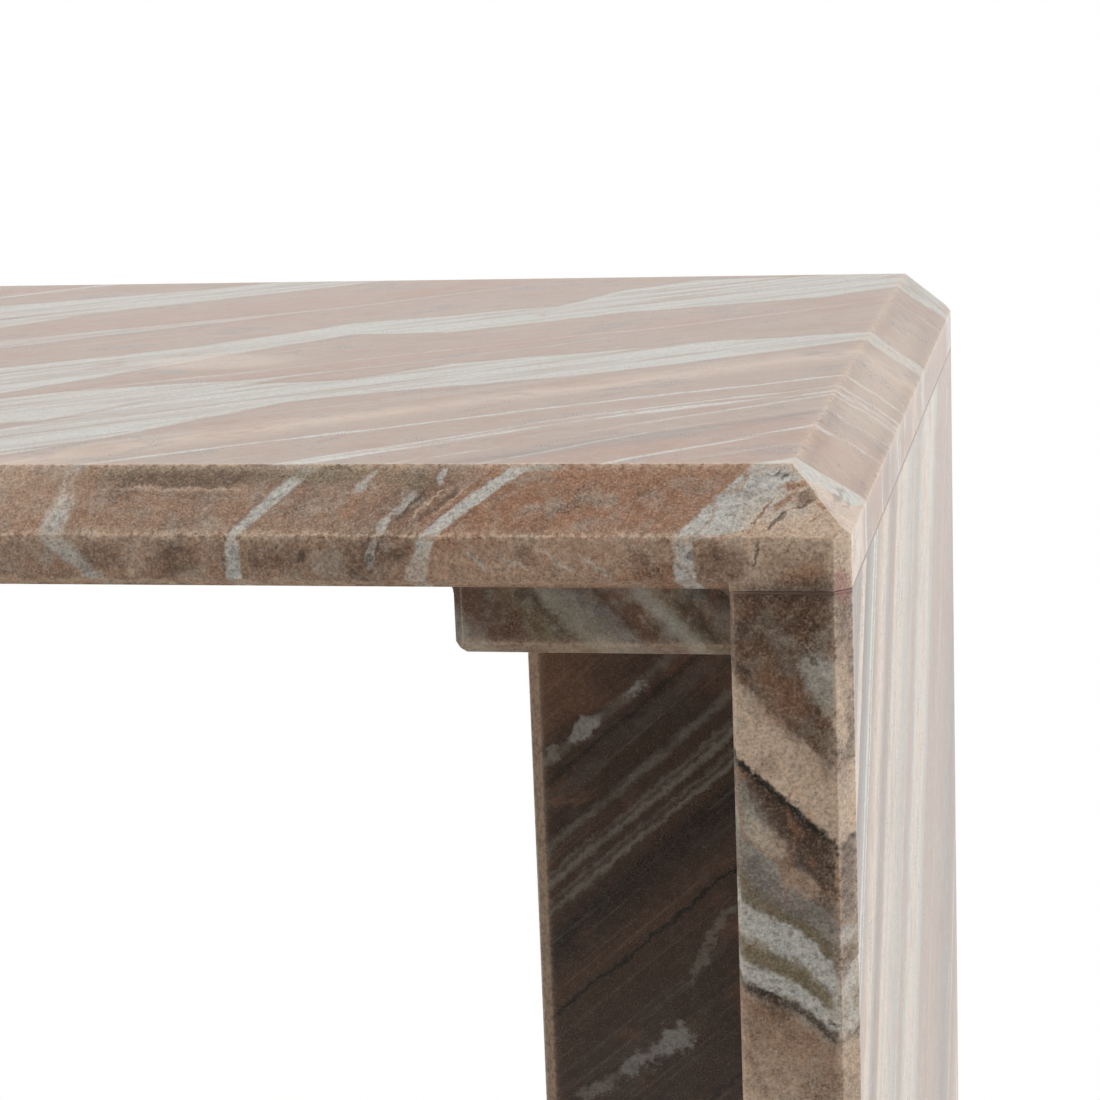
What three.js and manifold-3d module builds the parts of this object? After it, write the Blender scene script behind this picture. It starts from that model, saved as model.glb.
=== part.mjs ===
// Marble accent table: a bevelled stone top on two T-shaped stone legs.
// Lengths are in millimetres. +Z is up, +X is to the viewer's right and the front faces -Y.
// The origin is on the floor, under the middle of the table.

import * as THREE from 'three';
import { mergeVertices } from 'three/addons/utils/BufferGeometryUtils.js';
import Module from 'manifold-3d';

const wasm = await Module();
wasm.setup();

// Whole table
const TABLE_WIDTH = 560;
const TABLE_DEPTH = 405;
const TABLE_HEIGHT = 510;

// Top slab
const TOP_THICKNESS = 30;
const TOP_BEVEL = 16;
const TOP_UNDER_ARRIS = 2.5;

// Narrow bevel down the outer vertical edges of the top and of both side slabs
const CORNER_BEVEL = 4.2;

// Side slab, the bar of each T, flush with the ends of the top
const SIDE_THICKNESS = 31;
const SIDE_INNER_ARRIS = 1;

// Fin, the stem of each T, standing square to the side slab at mid depth
const FIN_THICKNESS = 30;
const FIN_REACH = 94;
const FIN_BEVEL = 4;

// Eased edges where the stone meets the floor
const FLOOR_ARRIS = 2;

// Cleats, flat stone strips that tie the side slab and the fin to the underside of the top
const CLEAT_WIDTH = 75;
const CLEAT_THICKNESS = 20;
const CLEAT_SETBACK = 10;
const CLEAT_ARRIS = 3;
const CLEAT_END_ARRIS = 2.5;

// Tinted epoxy: a flush bed on top of each side slab, and fillets in the corners under the top
const BED_THICKNESS = 0.75;
const FILLET_RADIUS = 4;
const FILLET_STEPS = 5;

// Steel dowel pins
const PIN_DIAMETER = 8;
const PIN_CLEARANCE = 0.3;
const PIN_END_CLEARANCE = 0.5;
const PIN_CHAMFER = 0.8;
const PIN_IN_TOP = 17;
const PIN_IN_SIDE = 23;
const PIN_FROM_TABLE_END = 85;
const FIN_PIN_IN_SIDE = 18;
const FIN_PIN_IN_FIN = 27;
const FIN_PIN_FROM_END = 90;
const PIN_SIDES = 20;

// Floor pads
const PAD_DIAMETER = 24;
const PAD_THICKNESS = 3;
const PAD_EDGE_ROUND = 0.6;
const PAD_FROM_TABLE_END = 32;
const PAD_FROM_FIN_END = 20;
const PAD_SIDES = 32;

// Cutting tools and blanks run past the piece by this much
const OVERRUN = 5;

// Levels and faces that several pieces share
const topUnderside = TABLE_HEIGHT - TOP_THICKNESS;
const sideTop = topUnderside - BED_THICKNESS;
const stoneBottom = PAD_THICKNESS;
const halfDepth = TABLE_DEPTH / 2;
const halfWidth = TABLE_WIDTH / 2;
const halfFin = FIN_THICKNESS / 2;
const innerFaceX = halfWidth - SIDE_THICKNESS;
const sideMiddleX = -SIDE_THICKNESS / 2;
const finEndX = -SIDE_THICKNESS - FIN_REACH;
const cleatFreeX = -SIDE_THICKNESS - CLEAT_WIDTH;
const cleatFrontY = -halfDepth + CLEAT_SETBACK;
const pinRowY = halfDepth - PIN_FROM_TABLE_END;
const boreRadius = PIN_DIAMETER / 2 + PIN_CLEARANCE;

// Finishes
function finish(color, roughness, metalness) {
  return new THREE.MeshStandardMaterial({ color, roughness, metalness });
}
const topStone = () => finish(0xb79f8b, 0.35, 0);
const sideStone = () => finish(0xa8978a, 0.35, 0);
const finStone = () => finish(0x7d6450, 0.4, 0);
const cleatStone = () => finish(0x756a5a, 0.45, 0);
const epoxy = () => finish(0x9b6f66, 0.5, 0);
const steel = () => finish(0xb4b6b8, 0.3, 1);
const felt = () => finish(0x4a4038, 0.95, 0);

// The stretch between two places, lower end first
function span(a, b) {
  return [Math.min(a, b), Math.max(a, b)];
}

// A closed outline from a list of [u, v] corners
function outline(corners) {
  return new THREE.Shape(corners.map(([u, v]) => new THREE.Vector2(u, v)));
}

function prism(shape, length) {
  return new THREE.ExtrudeGeometry(shape, { depth: length, bevelEnabled: false });
}

// Prism standing on a plan drawn in X and Y
function planPrism(corners, bottom, top) {
  return prism(outline(corners), top - bottom).translate(0, 0, bottom);
}

// Prism running along X, from a profile drawn in Y and Z
function prismAlongX(shape, from, to) {
  const turn = new THREE.Matrix4().makeBasis(
    new THREE.Vector3(0, 1, 0), new THREE.Vector3(0, 0, 1), new THREE.Vector3(1, 0, 0));
  return prism(shape, to - from).applyMatrix4(turn).translate(from, 0, 0);
}

// Prism running along Y, from a profile drawn in X and Z
function prismAlongY(shape, from, to) {
  const turn = new THREE.Matrix4().makeBasis(
    new THREE.Vector3(1, 0, 0), new THREE.Vector3(0, 0, 1), new THREE.Vector3(0, -1, 0));
  return prism(shape, to - from).applyMatrix4(turn).translate(0, to, 0);
}

// Corners of a rectangle whose four corners are cut at 45 degrees, by cuts given as
// [low u low v, high u low v, high u high v, low u high v]. A cut of zero leaves the corner square.
function cutRectangle(u0, v0, u1, v1, [c00, c10, c11, c01]) {
  const corners = [];
  const add = (u, v) => {
    const last = corners[corners.length - 1];
    if (!last || last[0] !== u || last[1] !== v) corners.push([u, v]);
  };
  add(u0, v0 + c00);
  add(u0 + c00, v0);
  add(u1 - c10, v0);
  add(u1, v0 + c10);
  add(u1, v1 - c11);
  add(u1 - c11, v1);
  add(u0 + c01, v1);
  add(u0, v1 - c01);
  const [first, last] = [corners[0], corners[corners.length - 1]];
  if (first[0] === last[0] && first[1] === last[1]) corners.pop();
  return corners;
}

function toSolid(geometry) {
  geometry.deleteAttribute('normal');
  geometry.deleteAttribute('uv');
  const merged = mergeVertices(geometry);
  return new wasm.Manifold(new wasm.Mesh({
    numProp: 3,
    vertProperties: new Float32Array(merged.attributes.position.array),
    triVerts: new Uint32Array(merged.index.array),
  }));
}

function toGeometry(solid) {
  const { vertProperties, triVerts } = solid.getMesh();
  const geometry = new THREE.BufferGeometry();
  geometry.setAttribute('position', new THREE.BufferAttribute(vertProperties, 3));
  geometry.setIndex(new THREE.BufferAttribute(triVerts, 1));
  return geometry;
}

// What a set of overlapping blanks has in common, less the cutters
function carve(blanks, cutters = []) {
  let solid = blanks.map(toSolid).reduce((kept, blank) => kept.intersect(blank));
  for (const cutter of cutters) solid = solid.subtract(toSolid(cutter));
  return toGeometry(solid);
}

function piece(name, geometry, material) {
  const mesh = new THREE.Mesh(geometry, material);
  mesh.name = name;
  return mesh;
}

// Bores for the dowel pins: upright ones open at a level, level ones open at an X face
function uprightBore(x, y, bottom, top) {
  return new THREE.CylinderGeometry(boreRadius, boreRadius, top - bottom, PIN_SIDES)
    .rotateX(Math.PI / 2)
    .translate(x, y, (bottom + top) / 2);
}

function levelBore(fromX, toX, z) {
  return new THREE.CylinderGeometry(boreRadius, boreRadius, toX - fromX, PIN_SIDES)
    .rotateZ(Math.PI / 2)
    .translate((fromX + toX) / 2, 0, z);
}

// Heights of the two level pins between a side slab and its fin
const finPinLevels = [stoneBottom + FIN_PIN_FROM_END, topUnderside - FIN_PIN_FROM_END];

// Cutter for the eased bottom edge of the top, which runs between the legs only.
// direction is -1 for the front edge and 1 for the back edge.
function underArrisCutter(direction) {
  const edgeY = halfDepth * direction;
  const section = outline([
    [edgeY + OVERRUN * direction, topUnderside - OVERRUN],
    [edgeY + OVERRUN * direction, topUnderside + TOP_UNDER_ARRIS + OVERRUN],
    [edgeY - (TOP_UNDER_ARRIS + OVERRUN) * direction, topUnderside - OVERRUN],
  ]);
  return prismAlongX(section, -innerFaceX, innerFaceX);
}

function topSlab() {
  const plan = cutRectangle(-halfWidth, -halfDepth, halfWidth, halfDepth,
    [CORNER_BEVEL, CORNER_BEVEL, CORNER_BEVEL, CORNER_BEVEL]);
  const endProfile = cutRectangle(-halfDepth, topUnderside, halfDepth, TABLE_HEIGHT,
    [0, 0, TOP_BEVEL, TOP_BEVEL]);
  const frontProfile = cutRectangle(-halfWidth, topUnderside, halfWidth, TABLE_HEIGHT,
    [0, 0, TOP_BEVEL, TOP_BEVEL]);
  const cutters = [-1, 1].map(underArrisCutter);
  for (const x of [-halfWidth - sideMiddleX, halfWidth + sideMiddleX]) {
    for (const y of [-pinRowY, pinRowY]) {
      const roof = topUnderside + PIN_IN_TOP + PIN_END_CLEARANCE;
      cutters.push(uprightBore(x, y, topUnderside - OVERRUN, roof));
    }
  }
  const blanks = [
    planPrism(plan, topUnderside, TABLE_HEIGHT),
    prismAlongX(outline(endProfile), -halfWidth - OVERRUN, halfWidth + OVERRUN),
    prismAlongY(outline(frontProfile), -halfDepth - OVERRUN, halfDepth + OVERRUN),
  ];
  return piece('top_slab', carve(blanks, cutters), topStone());
}

// The pieces of a leg are drawn in its own frame: X is zero on the outer face and runs
// negative towards the middle of the table, Y is zero at mid depth and Z is zero on the floor.

function sideSlab(name) {
  const plan = cutRectangle(-SIDE_THICKNESS, -halfDepth, 0, halfDepth,
    [SIDE_INNER_ARRIS, CORNER_BEVEL, CORNER_BEVEL, SIDE_INNER_ARRIS]);
  const frontProfile = cutRectangle(-SIDE_THICKNESS, stoneBottom, 0, sideTop,
    [FLOOR_ARRIS, FLOOR_ARRIS, 0, 0]);
  const endProfile = cutRectangle(-halfDepth, stoneBottom, halfDepth, sideTop,
    [FLOOR_ARRIS, FLOOR_ARRIS, 0, 0]);
  const bores = [];
  for (const y of [-pinRowY, pinRowY]) {
    const floor = sideTop - PIN_IN_SIDE - PIN_END_CLEARANCE;
    bores.push(uprightBore(sideMiddleX, y, floor, sideTop + OVERRUN));
  }
  for (const z of finPinLevels) {
    const blindEnd = -SIDE_THICKNESS + FIN_PIN_IN_SIDE + PIN_END_CLEARANCE;
    bores.push(levelBore(-SIDE_THICKNESS - OVERRUN, blindEnd, z));
  }
  const blanks = [
    planPrism(plan, stoneBottom, sideTop),
    prismAlongX(outline(endProfile), -SIDE_THICKNESS - OVERRUN, OVERRUN),
    prismAlongY(outline(frontProfile), -halfDepth - OVERRUN, halfDepth + OVERRUN),
  ];
  return piece(name, carve(blanks, bores), sideStone());
}

function fin(name) {
  const plan = cutRectangle(finEndX, -halfFin, -SIDE_THICKNESS, halfFin,
    [FIN_BEVEL, 0, 0, FIN_BEVEL]);
  const frontProfile = cutRectangle(finEndX, stoneBottom, -SIDE_THICKNESS, topUnderside,
    [FLOOR_ARRIS, 0, 0, 0]);
  const endProfile = cutRectangle(-halfFin, stoneBottom, halfFin, topUnderside,
    [FLOOR_ARRIS, FLOOR_ARRIS, 0, 0]);
  const bores = finPinLevels.map((z) => {
    const blindEnd = -SIDE_THICKNESS - FIN_PIN_IN_FIN - PIN_END_CLEARANCE;
    return levelBore(blindEnd, -SIDE_THICKNESS + OVERRUN, z);
  });
  const blanks = [
    planPrism(plan, stoneBottom, topUnderside),
    prismAlongX(outline(endProfile), finEndX - OVERRUN, -SIDE_THICKNESS + OVERRUN),
    prismAlongY(outline(frontProfile), -halfFin - OVERRUN, halfFin + OVERRUN),
  ];
  return piece(name, carve(blanks, bores), finStone());
}

// A cleat lies between the side slab, the fin and the open end of the leg.
// direction is -1 for the one at -Y and 1 for the one at +Y.
function cleat(name, direction) {
  const bottom = topUnderside - CLEAT_THICKNESS;
  const [y0, y1] = span(-cleatFrontY * direction, halfFin * direction);
  const [lowCut, highCut] = direction < 0 ? [CLEAT_END_ARRIS, 0] : [0, CLEAT_END_ARRIS];
  const plan = cutRectangle(cleatFreeX, y0, -SIDE_THICKNESS, y1, [lowCut, 0, 0, highCut]);
  const frontProfile = cutRectangle(cleatFreeX, bottom, -SIDE_THICKNESS, topUnderside,
    [CLEAT_ARRIS, 0, 0, 0]);
  const endProfile = cutRectangle(y0, bottom, y1, topUnderside, [lowCut, highCut, 0, 0]);
  const blanks = [
    planPrism(plan, bottom, topUnderside),
    prismAlongX(outline(endProfile), cleatFreeX - OVERRUN, -SIDE_THICKNESS + OVERRUN),
    prismAlongY(outline(frontProfile), y0 - OVERRUN, y1 + OVERRUN),
  ];
  return piece(name, carve(blanks), cleatStone());
}

// Epoxy bed between the side slab and the top, flush with the faces of both
function epoxyBed(name) {
  const plan = cutRectangle(-SIDE_THICKNESS, -halfDepth, 0, halfDepth,
    [SIDE_INNER_ARRIS, CORNER_BEVEL, CORNER_BEVEL, SIDE_INNER_ARRIS]);
  const bores = [-pinRowY, pinRowY].map((y) =>
    uprightBore(sideMiddleX, y, sideTop - OVERRUN, topUnderside + OVERRUN));
  return piece(name, carve([planPrism(plan, sideTop, topUnderside)], bores), epoxy());
}

// Hollow fillet of squeezed-out epoxy under the top, against a wall at wallX
function epoxyFillet(name, wallX, fromY, toY) {
  const section = new THREE.Shape();
  section.moveTo(wallX, topUnderside);
  section.lineTo(wallX - FILLET_RADIUS, topUnderside);
  for (let step = 1; step <= FILLET_STEPS; step += 1) {
    const angle = (Math.PI / 2) * (1 - step / FILLET_STEPS);
    section.lineTo(
      wallX - FILLET_RADIUS + FILLET_RADIUS * Math.cos(angle),
      topUnderside - FILLET_RADIUS + FILLET_RADIUS * Math.sin(angle));
  }
  return piece(name, carve([prismAlongY(section, fromY, toY)]), epoxy());
}

// Round bar with chamfered ends, turned about Z from its lower end
function turnedBar(radius, length, chamfer, sides) {
  const profile = [
    [0, 0], [radius - chamfer, 0], [radius, chamfer],
    [radius, length - chamfer], [radius - chamfer, length], [0, length],
  ].map(([r, z]) => new THREE.Vector2(r, z));
  return new THREE.LatheGeometry(profile, sides).rotateX(Math.PI / 2);
}

function uprightPin(name, y) {
  const bar = turnedBar(PIN_DIAMETER / 2, PIN_IN_SIDE + BED_THICKNESS + PIN_IN_TOP,
    PIN_CHAMFER, PIN_SIDES);
  const pin = piece(name, bar, steel());
  pin.position.set(sideMiddleX, y, sideTop - PIN_IN_SIDE);
  return pin;
}

function levelPin(name, z) {
  const bar = turnedBar(PIN_DIAMETER / 2, FIN_PIN_IN_FIN + FIN_PIN_IN_SIDE,
    PIN_CHAMFER, PIN_SIDES);
  const pin = piece(name, bar.rotateY(Math.PI / 2), steel());
  pin.position.set(-SIDE_THICKNESS - FIN_PIN_IN_FIN, 0, z);
  return pin;
}

function floorPad(name, x, y) {
  const pad = piece(name, turnedBar(PAD_DIAMETER / 2, PAD_THICKNESS, PAD_EDGE_ROUND, PAD_SIDES),
    felt());
  pad.position.set(x, y, 0);
  return pad;
}

// One T-shaped leg. lowEnd and highEnd name its ends at -Y and +Y of its own frame.
function leg(side, lowEnd, highEnd) {
  const group = new THREE.Group();
  group.add(sideSlab(`${side}_side_slab`), fin(`${side}_fin`), epoxyBed(`${side}_top_epoxy_bed`));
  for (const [end, direction] of [[lowEnd, -1], [highEnd, 1]]) {
    const cleatEnd = -cleatFrontY * direction;
    const topEnd = (halfDepth - TOP_UNDER_ARRIS) * direction;
    const cleatFillet = span(cleatEnd - CLEAT_END_ARRIS * direction, halfFin * direction);
    group.add(
      cleat(`${side}_${end}_cleat`, direction),
      epoxyFillet(`${side}_${end}_cleat_fillet`, cleatFreeX, ...cleatFillet),
      epoxyFillet(`${side}_${end}_corner_fillet`, -SIDE_THICKNESS, ...span(topEnd, cleatEnd)),
      uprightPin(`${side}_${end}_top_pin`, pinRowY * direction),
      floorPad(`${side}_${end}_pad`, sideMiddleX, (halfDepth - PAD_FROM_TABLE_END) * direction));
  }
  group.add(
    levelPin(`${side}_lower_fin_pin`, finPinLevels[0]),
    levelPin(`${side}_upper_fin_pin`, finPinLevels[1]),
    floorPad(`${side}_fin_pad`, finEndX + PAD_FROM_FIN_END, 0));
  return group;
}

const table = new THREE.Group();
table.add(topSlab());

const rightLeg = leg('right', 'front', 'rear');
rightLeg.position.x = halfWidth;
table.add(rightLeg);

const leftLeg = leg('left', 'rear', 'front');
leftLeg.position.x = -halfWidth;
leftLeg.rotation.z = Math.PI;
table.add(leftLeg);

export default table;
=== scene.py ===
"""Marble accent table: finishes, floor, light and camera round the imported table.

Lengths are in metres unless a name says otherwise. +Z is up, +X is to the viewer's right and the
front faces -Y. The origin is on the floor under the middle of the table.
"""

import math

import bpy
from mathutils import Matrix, Vector


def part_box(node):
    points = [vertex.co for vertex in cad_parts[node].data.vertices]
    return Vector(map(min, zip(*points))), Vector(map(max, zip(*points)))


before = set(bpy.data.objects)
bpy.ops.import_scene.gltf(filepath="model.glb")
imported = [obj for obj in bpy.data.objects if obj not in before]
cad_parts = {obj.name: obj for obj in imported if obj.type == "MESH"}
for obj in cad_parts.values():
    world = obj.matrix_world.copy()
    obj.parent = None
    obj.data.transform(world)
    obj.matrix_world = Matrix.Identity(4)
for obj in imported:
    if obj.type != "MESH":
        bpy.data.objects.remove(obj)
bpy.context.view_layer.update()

bl_info = {
    "name": "Marble accent table",
    "version": (1, 0, 0),
    "blender": (4, 5, 0),
    "location": "3D View > Sidebar > Table",
    "description": "Finishes a bevelled marble accent table and sets its floor, light and camera",
    "category": "Object",
}


# Units, directions and the marble's colours by name

MM = 0.001
PER_MM = 1000.0
X, Y, Z = (1, 0, 0), (0, 1, 0), (0, 0, 1)
BASE = BODY, RUST, UMBER, SAGE, CREAM, CALCITE, SLATE, OLIVE, INK = (
    "body", "rust", "umber", "sage", "cream", "calcite", "slate", "olive", "ink")
BLUSH, SOIL, SHADED_UMBER, FROST = "blush", "soil", "loam", "frost"


def paint(red, green, blue):
    """A colour written as it looks on a screen, 0 to 255, as the linear values that shaders use."""
    def linear(level):
        share = level / 255
        return share / 12.92 if share <= 0.04045 else ((share + 0.055) / 1.055) ** 2.4
    return linear(red), linear(green), linear(blue)


def opaque(colour):
    """A colour with full alpha, as sockets and ramp stops want it. A number becomes an alpha."""
    if isinstance(colour, float):
        return 0.0, 0.0, 0.0, colour
    return (*tuple(colour)[:3], 1.0)


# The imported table's boxes and bevels

slab_low, slab_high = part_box("top_slab")
side_low, side_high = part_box("right_side_slab")
fin_low, fin_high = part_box("right_fin")
cleat_low, cleat_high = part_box("right_front_cleat")

TOP_BEVEL = 16 * MM
CORNER_BEVEL = 4.2 * MM
FIN_BEVEL = 4 * MM
CLEAT_ARRIS = 3 * MM


# Settings that a user would change

def tint(name, description, red, green, blue):
    """A colour that a user can change, with its default as it looks on a screen."""
    return bpy.props.FloatVectorProperty(
        name=name, description=description, default=paint(red, green, blue),
        subtype="COLOR", size=3, min=0, max=1)


def number(name, description, default, **facts):
    """A number that a user can change."""
    return bpy.props.FloatProperty(name=name, description=description, default=default, **facts)


def angle(name, description, degrees):
    """An angle that a user can change, given in degrees."""
    return number(name, description, math.radians(degrees), subtype="ANGLE", unit="ROTATION")


class StoneSettings(bpy.types.PropertyGroup):
    """The marble's palette and polish, shared by every stone piece."""

    body: tint("Body", "Main pinkish brown of the marble", 146, 114, 90)
    rust: tint("Rust", "Orange brown that clouds the body", 146, 103, 74)
    umber: tint("Umber", "Dark brown of the shaded beds", 98, 72, 54)
    sage: tint("Sage", "Pale grey green of the broad bands", 160, 155, 142)
    cream: tint("Cream", "Warm light stone beside the bands", 202, 177, 153)
    calcite: tint("Calcite", "White of the sugary veins", 190, 188, 180)
    slate: tint("Slate", "Blue grey inside the veins and wedges", 118, 110, 104)
    olive: tint("Olive", "Olive outline of the pale bands", 112, 98, 70)
    ink: tint("Ink", "Nearly black of the thin cracks", 38, 30, 22)
    polish: number("Polish", "Roughness of the honed faces, lower is shinier", 0.3,
                   subtype="FACTOR", min=0.05, max=1)
    crystal: number("Crystal", "Width of one marble crystal", 0.75 * MM,
                    subtype="DISTANCE", unit="LENGTH", min=0.0002, max=0.01)
    eased: number("Eased edge", "Width of the soft edge that hand polishing leaves", 0.3 * MM,
                  subtype="DISTANCE", unit="LENGTH", min=0.0001, max=0.001)


class FittingSettings(bpy.types.PropertyGroup):
    """Colours of the resin, the pins and the pads."""

    resin: tint("Resin", "Rose brown tinted epoxy in the joints", 140, 112, 96)
    steel: tint("Steel", "Brushed steel of the dowel pins", 182, 184, 186)
    felt: tint("Felt", "Pressed wool felt of the floor pads", 84, 74, 66)


class StudioSettings(bpy.types.PropertyGroup):
    """Floor, light and camera."""

    floor: tint("Floor", "Colour of the plain pale floor", 236, 235, 233)
    floor_half: number("Floor reach", "Distance from the middle of the floor to its edge", 30,
                       subtype="DISTANCE", unit="LENGTH", min=2, max=60)
    overhead: number("Overhead light", "Power of the soft box above the table", 11.8,
                     subtype="POWER", unit="POWER", min=0, max=500)
    lens: number("Lens", "Focal length of the camera", 97.58,
                 subtype="DISTANCE_CAMERA", unit="CAMERA", min=20, max=300)
    azimuth: angle("Azimuth", "How far the camera stands round to the right", 11.56)
    elevation: angle("Elevation", "How far the camera looks down", 12.48)
    roll: angle("Roll", "Tilt of the camera about its line of sight", -2.28)
    place: bpy.props.FloatVectorProperty(
        name="Camera place", description="Where the camera stands",
        subtype="TRANSLATION", unit="LENGTH", size=3, default=(0.3528, -0.9351, 0.6561))


# Shader maths

class Link:
    """A socket that takes part in expressions. Arithmetic on a number adds Math nodes."""

    def __init__(self, sheet, socket):
        self.sheet = sheet
        self.socket = socket

    def __add__(self, other):
        return self.sheet.math("ADD", self, other)

    __radd__ = __add__

    def __sub__(self, other):
        return self.sheet.math("SUBTRACT", self, other)

    def __rsub__(self, other):
        return self.sheet.math("SUBTRACT", other, self)

    def __mul__(self, other):
        return self.sheet.math("MULTIPLY", self, other)

    def __truediv__(self, other):
        return self.sheet.math("DIVIDE", self, other)

    def __abs__(self):
        return self.sheet.math("ABSOLUTE", self)

    def beside(self, output):
        """Another output of the same node."""
        return Link(self.sheet, self.socket.node.outputs[output])


class Sheet:
    """A node tree that is written from an empty start."""

    def __init__(self, tree):
        self.tree = tree
        tree.nodes.clear()

    def node(self, kind, settings=None, sockets=None, output=0):
        """Adds a node, sets it up, fills or links its sockets and gives one of its outputs."""
        made = self.tree.nodes.new("ShaderNode" + kind)
        for key, value in (settings or {}).items():
            if key == "stops":
                self.fill_ramp(made.color_ramp, value)
            else:
                setattr(made, key, value)
        for key, value in (sockets or {}).items():
            if isinstance(value, Link):
                self.tree.links.new(value.socket, made.inputs[key])
            else:
                made.inputs[key].default_value = value
        return Link(self, made.outputs[output]) if made.outputs else None

    def fill_ramp(self, ramp, stops):
        while len(ramp.elements) > 1:
            ramp.elements.remove(ramp.elements[-1])
        ramp.elements[0].position, ramp.elements[0].color = stops[0][0], opaque(stops[0][1])
        for position, colour in stops[1:]:
            ramp.elements.new(position).color = opaque(colour)

    def math(self, operation, *numbers):
        return self.node("Math", {"operation": operation}, dict(enumerate(numbers)))

    def clamp(self, number):
        return self.node("Clamp", {}, {0: number})

    def smooth(self, number, low, high):
        """0 below low, 1 above high and a soft step between. low may be the larger."""
        settings = {"interpolation_type": "SMOOTHSTEP"}
        sockets = {"Value": number, "From Min": low, "From Max": high}
        return self.node("MapRange", settings, sockets)

    def mix(self, factor, first, second):
        """A blend of two colours. 0 gives the first and 1 the second."""
        named = {6: first, 7: second}
        colours = {key: c if isinstance(c, Link) else opaque(c) for key, c in named.items()}
        return self.node("Mix", {"data_type": "RGBA"}, {0: factor, **colours}, 2)

    def vectors(self, operation, *values, output=0):
        """Vector maths. Output 1 is the number that a dot product or a length gives."""
        sockets = dict(enumerate(values))
        return self.node("VectorMath", {"operation": operation}, sockets, output)

    def dot(self, vector, direction):
        return self.vectors("DOT_PRODUCT", vector, direction, output=1)

    def ramp(self, number, stops, output=0):
        """A ramp with its stops at plain numbers. Output 0 is a colour, and 1 its alpha."""
        low, high = stops[0][0], stops[-1][0]
        share = (number - low) / (high - low)
        stops = [((at - low) / (high - low), value) for at, value in stops]
        return self.node("ValToRGB", {"stops": stops}, {0: share}, output)

    def vector(self, x, y, z):
        return self.node("CombineXYZ", {}, {0: x, 1: y, 2: z})

    def noise(self, vector, size, detail=2.0, roughness=0.5, distortion=0.0):
        """Cloudy noise from 0 to 1 round a mean of a half. size is the width of a lump."""
        sockets = {"Vector": vector, "Scale": 1 / size, "Detail": detail,
                   "Roughness": roughness, "Distortion": distortion}
        return self.node("TexNoise", {}, sockets)

    def swing(self, vector, size, reach, detail=2.0):
        """Noise that swings either way by about reach."""
        return (self.noise(vector, size, detail, 0.6) - 0.5) * (2.6 * reach)

    def cells(self, vector, size):
        """A random number for each crystal of about this size."""
        colour = self.node("TexVoronoi", {}, {"Vector": vector, "Scale": 1 / size}, 1)
        return self.node("SeparateColor", {}, {0: colour})

    def scaled(self, colour, factor):
        """A colour made lighter or darker as a whole."""
        return self.node("VectorMath", {"operation": "SCALE"}, {0: colour, "Scale": factor})

    def blob(self, point, centre, turn, radii):
        """1 at a centre, a half on an ellipsoid turned by some degrees in the front view, then 0."""
        sockets = {"Vector": point, "Location": centre, "Scale": tuple(2.0 * r for r in radii),
                   "Rotation": (0.0, -math.radians(turn), 0.0)}
        local = self.node("Mapping", {"vector_type": "TEXTURE"}, sockets)
        return self.node("TexGradient", {"gradient_type": "SPHERICAL"}, {"Vector": local}, 1)

    def pushed(self, point, size, reach):
        """The point pushed about by about reach, for frayed outlines."""
        sockets = {"Vector": point, "Scale": 1 / size, "Detail": 4.0, "Roughness": 0.65}
        colour = self.node("TexNoise", {}, sockets, 1)
        push = self.vectors("MULTIPLY_ADD", colour, (5.0 * reach,) * 3, (-2.5 * reach,) * 3)
        return self.vectors("ADD", point, push)

    def place_mm(self):
        """The point's place in the table's own frame, in millimetres."""
        return self.scaled(self.node("TexCoord", output=3), PER_MM)


def new_material(name):
    material = bpy.data.materials.new(name)
    material.use_nodes = True
    return material, Sheet(material.node_tree)


def principled(sheet, material, colour, roughness, height, bump_mm, constants):
    """Ends a recipe in a shader. constants go straight onto the shader's own sockets."""
    bump = sheet.node("Bump", {}, {"Height": height, "Strength": 1.0, "Distance": bump_mm * MM})
    sockets = {"Base Color": colour, "Roughness": roughness, "Normal": bump}
    shader = sheet.node("BsdfPrincipled", {}, {**sockets, **constants})
    sheet.node("OutputMaterial", {}, {"Surface": shader})
    return material


# Marble

class Beds:
    """The beds of one sawn block, in millimetres: across them, along them and the third way."""

    def __init__(self, sheet, point, across, along):
        normal = Vector(across).normalized()
        run = Vector(along)
        run = (run - normal * run.dot(normal)).normalized()
        third = normal.cross(run)
        self.sheet = sheet
        self.point = point
        self.across = sheet.dot(point, normal)
        self.along = sheet.dot(point, run)
        self.third = sheet.dot(point, third)

    def drawn_out(self, across, along, third):
        """A place for noise whose lumps are this wide in each direction."""
        return self.sheet.vector(self.across / across, self.along / along, self.third / third)


def arris_mask(sheet, point, planes, width):
    """1 on an edge between two of the faces, 0 in the middle of a face."""
    total = -1.0
    for normal, reach in planes:
        depth = reach * PER_MM - sheet.dot(point, normal)
        total = total + sheet.math("EXPONENT", abs(depth) * (-1 / width))
    return sheet.clamp(total)


def rim_mask(sheet, point, rims, width):
    """1 on each of these narrow bevels, fading out within a width beside them."""
    total = 0.0
    for normal, reach in rims:
        depth = abs(reach * PER_MM - sheet.dot(point, normal))
        total = sheet.math("MAXIMUM", sheet.math("EXPONENT", depth * (-1 / width)), total)
    return total


class Coat:
    """The colour that a recipe has built up so far, and the palette that goes over it."""

    def __init__(self, sheet, palette):
        self.sheet = sheet
        self.palette = palette
        self.colour = None

    def lay(self, name, strength):
        """Lays one of the palette's colours over the rest, as strongly as a mask says."""
        self.colour = self.sheet.mix(strength, self.colour, self.palette[name])


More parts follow.
